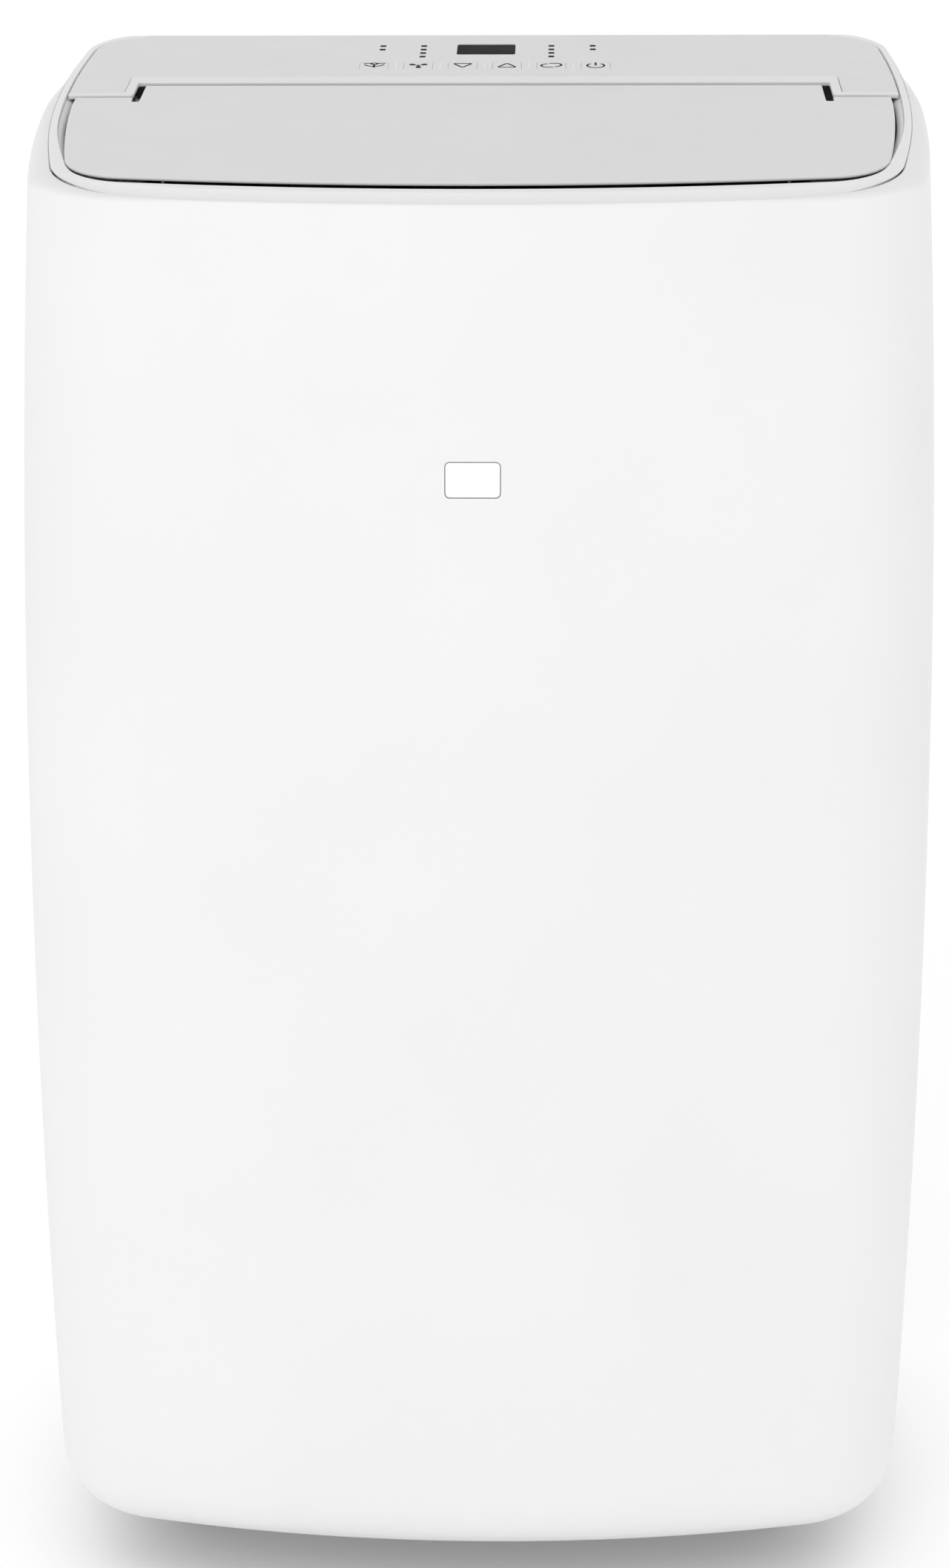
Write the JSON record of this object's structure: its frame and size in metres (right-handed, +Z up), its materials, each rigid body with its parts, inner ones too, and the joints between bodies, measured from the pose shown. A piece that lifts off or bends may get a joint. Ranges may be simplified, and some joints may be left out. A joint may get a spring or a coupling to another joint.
{
  "type": "portable air conditioner",
  "caption": "Tall white portable air conditioner with a sloping grey top, a hinged outlet flap, touch keys, rear intake grilles and a hose port, on swivel castors.",
  "frame": {"origin": "on the floor under the middle of the cabinet", "axes": "+Z up; the front with the receiver window faces -Y; +X is to the right of someone facing the front; the flap opens upwards about a line along X"},
  "size_m": [0.454, 0.39, 0.7648],
  "materials": {
    "white_shell": "satin white moulded plastic with a very fine texture",
    "grey_top": "light grey moulded plastic, satin",
    "display_black": "black gloss window",
    "receiver_lens": "milky gloss infrared window",
    "grey_plastic": "dark grey moulded plastic",
    "dark_plastic": "black moulded plastic",
    "control_case": "grey flame-proof plastic case",
    "motor_steel": "plated motor can",
    "coil_fins": "bare aluminium fins",
    "copper_pipe": "bare drawn copper pipe",
    "black_steel": "black painted steel",
    "board": "green circuit board",
    "filter_mesh": "grey plastic frame with fine mesh",
    "rubber": "black moulded rubber"
  },
  "bodies": {
    "cabinet": {"front_panel": "white_shell", "rear_housing": "white_shell", "top_cover": "white_shell", "control_panel": "grey_top", "flap_motor": "motor_steel", "ir_window": "receiver_lens", "display_window": "display_black", "display_board": "board", "outlet_duct": "grey_plastic", "evaporator_scroll": "grey_plastic", "evaporator_motor": "motor_steel", "evaporator_coil": "coil_fins", "deck": "grey_plastic", "condenser_scroll": "grey_plastic", "condenser_motor": "motor_steel", "condenser_coil": "coil_fins", "exhaust_duct": "grey_plastic", "exhaust_collar": "white_shell", "compressor": "black_steel", "accumulator": "black_steel", "suction_pipe": "copper_pipe", "discharge_pipe": "copper_pipe", "capillary_tube": "copper_pipe", "control_box": "control_case", "slinger_motor": "dark_plastic", "base_pan": "black_steel", "cord_inlet": "rubber", "left_handle_cup": "grey_plastic", "right_handle_cup": "grey_plastic"},
    "flap": {"louver_flap": "grey_top"},
    "vane_1": {"vane_1": "grey_plastic"},
    "vane_2": {"vane_2": "grey_plastic"},
    "vane_3": {"vane_3": "grey_plastic"},
    "vane_4": {"vane_4": "grey_plastic"},
    "vane_5": {"vane_5": "grey_plastic"},
    "vane_6": {"vane_6": "grey_plastic"},
    "vane_link": {"vane_link": "dark_plastic"},
    "evaporator_fan": {"evaporator_wheel": "dark_plastic"},
    "condenser_fan": {"condenser_wheel": "dark_plastic"},
    "slinger": {"slinger_wheel": "dark_plastic"},
    "key_sleep": {"key_sleep": "grey_top"},
    "key_fan": {"key_fan": "grey_top"},
    "key_down": {"key_down": "grey_top"},
    "key_up": {"key_up": "grey_top"},
    "key_mode": {"key_mode": "grey_top"},
    "key_power": {"key_power": "grey_top"},
    "upper_intake": {"upper_grille": "white_shell", "upper_filter": "filter_mesh"},
    "lower_intake": {"lower_grille": "white_shell", "lower_filter": "filter_mesh"},
    "upper_drain": {"upper_drain_cap": "rubber"},
    "lower_drain": {"lower_drain_cap": "rubber"},
    "castor_front_left": {"fork_front_left": "dark_plastic"},
    "roller_front_left": {"wheel_front_left": "rubber"},
    "castor_front_right": {"fork_front_right": "dark_plastic"},
    "roller_front_right": {"wheel_front_right": "rubber"},
    "castor_rear_left": {"fork_rear_left": "dark_plastic"},
    "roller_rear_left": {"wheel_rear_left": "rubber"},
    "castor_rear_right": {"fork_rear_right": "dark_plastic"},
    "roller_rear_right": {"wheel_rear_right": "rubber"}
  },
  "joints": [
    {"name": "flap_hinge", "type": "hinge", "parent": "cabinet", "child": "flap", "pos_m": [0, -0.00327, 0.72552], "axis": [-1, 0, 0], "range_deg": [0, 70]},
    {"name": "vane_1_pivot", "type": "hinge", "parent": "cabinet", "child": "vane_1", "pos_m": [-0.125, -0.083, 0.644], "axis": [0, 1, 0], "range_deg": [-30, 30]},
    {"name": "vane_2_pivot", "type": "hinge", "parent": "cabinet", "child": "vane_2", "pos_m": [-0.075, -0.083, 0.644], "axis": [0, 1, 0], "range_deg": [-30, 30]},
    {"name": "vane_3_pivot", "type": "hinge", "parent": "cabinet", "child": "vane_3", "pos_m": [-0.025, -0.083, 0.644], "axis": [0, 1, 0], "range_deg": [-30, 30]},
    {"name": "vane_4_pivot", "type": "hinge", "parent": "cabinet", "child": "vane_4", "pos_m": [0.025, -0.083, 0.644], "axis": [0, 1, 0], "range_deg": [-30, 30]},
    {"name": "vane_5_pivot", "type": "hinge", "parent": "cabinet", "child": "vane_5", "pos_m": [0.075, -0.083, 0.644], "axis": [0, 1, 0], "range_deg": [-30, 30]},
    {"name": "vane_6_pivot", "type": "hinge", "parent": "cabinet", "child": "vane_6", "pos_m": [0.125, -0.083, 0.644], "axis": [0, 1, 0], "range_deg": [-30, 30]},
    {"name": "vane_link_pin", "type": "hinge", "parent": "vane_1", "child": "vane_link", "pos_m": [-0.125, -0.103, 0.6275], "axis": [0, 1, 0], "range_deg": [-30, 30]},
    {"name": "evaporator_fan_spin", "type": "hinge", "parent": "cabinet", "child": "evaporator_fan", "pos_m": [-0.02, -0.09, 0.535], "axis": [0, 1, 0], "continuous": true},
    {"name": "condenser_fan_spin", "type": "hinge", "parent": "cabinet", "child": "condenser_fan", "pos_m": [0.065, -0.085, 0.2], "axis": [0, 1, 0], "continuous": true},
    {"name": "slinger_spin", "type": "hinge", "parent": "cabinet", "child": "slinger", "pos_m": [-0.05, 0.058, 0.092], "axis": [0, 1, 0], "continuous": true},
    {"name": "key_sleep_press", "type": "slide", "parent": "cabinet", "child": "key_sleep", "axis": [0, 0.3007, -0.9537], "range_m": [0, 0.0008], "stiffness_N_per_m": 600, "springref_m": -0.0005},
    {"name": "key_fan_press", "type": "slide", "parent": "cabinet", "child": "key_fan", "axis": [0, 0.3007, -0.9537], "range_m": [0, 0.0008], "stiffness_N_per_m": 600, "springref_m": -0.0005},
    {"name": "key_down_press", "type": "slide", "parent": "cabinet", "child": "key_down", "axis": [0, 0.3007, -0.9537], "range_m": [0, 0.0008], "stiffness_N_per_m": 600, "springref_m": -0.0005},
    {"name": "key_up_press", "type": "slide", "parent": "cabinet", "child": "key_up", "axis": [0, 0.3007, -0.9537], "range_m": [0, 0.0008], "stiffness_N_per_m": 600, "springref_m": -0.0005},
    {"name": "key_mode_press", "type": "slide", "parent": "cabinet", "child": "key_mode", "axis": [0, 0.3007, -0.9537], "range_m": [0, 0.0008], "stiffness_N_per_m": 600, "springref_m": -0.0005},
    {"name": "key_power_press", "type": "slide", "parent": "cabinet", "child": "key_power", "axis": [0, 0.3007, -0.9537], "range_m": [0, 0.0008], "stiffness_N_per_m": 600, "springref_m": -0.0005},
    {"name": "upper_intake_pull", "type": "slide", "parent": "cabinet", "child": "upper_intake", "axis": [0, 1, 0], "range_m": [0, 0.06]},
    {"name": "lower_intake_pull", "type": "slide", "parent": "cabinet", "child": "lower_intake", "axis": [0, 1, 0], "range_m": [0, 0.06]},
    {"name": "upper_drain_pull", "type": "slide", "parent": "cabinet", "child": "upper_drain", "axis": [0, 1, 0], "range_m": [0, 0.025]},
    {"name": "lower_drain_pull", "type": "slide", "parent": "cabinet", "child": "lower_drain", "axis": [0, 1, 0], "range_m": [0, 0.025]},
    {"name": "front_left_swivel", "type": "hinge", "parent": "cabinet", "child": "castor_front_left", "pos_m": [-0.156, -0.075, 0.0415], "axis": [0, 0, 1], "continuous": true},
    {"name": "front_left_roll", "type": "hinge", "parent": "castor_front_left", "child": "roller_front_left", "pos_m": [-0.156, -0.064, 0.01765], "axis": [1, 0, 0], "continuous": true},
    {"name": "front_right_swivel", "type": "hinge", "parent": "cabinet", "child": "castor_front_right", "pos_m": [0.156, -0.075, 0.0415], "axis": [0, 0, 1], "continuous": true},
    {"name": "front_right_roll", "type": "hinge", "parent": "castor_front_right", "child": "roller_front_right", "pos_m": [0.156, -0.064, 0.01765], "axis": [1, 0, 0], "continuous": true},
    {"name": "rear_left_swivel", "type": "hinge", "parent": "cabinet", "child": "castor_rear_left", "pos_m": [-0.156, 0.132, 0.0415], "axis": [0, 0, 1], "continuous": true},
    {"name": "rear_left_roll", "type": "hinge", "parent": "castor_rear_left", "child": "roller_rear_left", "pos_m": [-0.156, 0.143, 0.01765], "axis": [1, 0, 0], "continuous": true},
    {"name": "rear_right_swivel", "type": "hinge", "parent": "cabinet", "child": "castor_rear_right", "pos_m": [0.156, 0.132, 0.0415], "axis": [0, 0, 1], "continuous": true},
    {"name": "rear_right_roll", "type": "hinge", "parent": "castor_rear_right", "child": "roller_rear_right", "pos_m": [0.156, 0.143, 0.01765], "axis": [1, 0, 0], "continuous": true}
  ],
  "couplings": [
    {"joint": "vane_2_pivot", "follows": "vane_1_pivot", "ratio": 1},
    {"joint": "vane_3_pivot", "follows": "vane_1_pivot", "ratio": 1},
    {"joint": "vane_4_pivot", "follows": "vane_1_pivot", "ratio": 1},
    {"joint": "vane_5_pivot", "follows": "vane_1_pivot", "ratio": 1},
    {"joint": "vane_6_pivot", "follows": "vane_1_pivot", "ratio": 1},
    {"joint": "vane_link_pin", "follows": "vane_1_pivot", "ratio": -1}
  ]
}
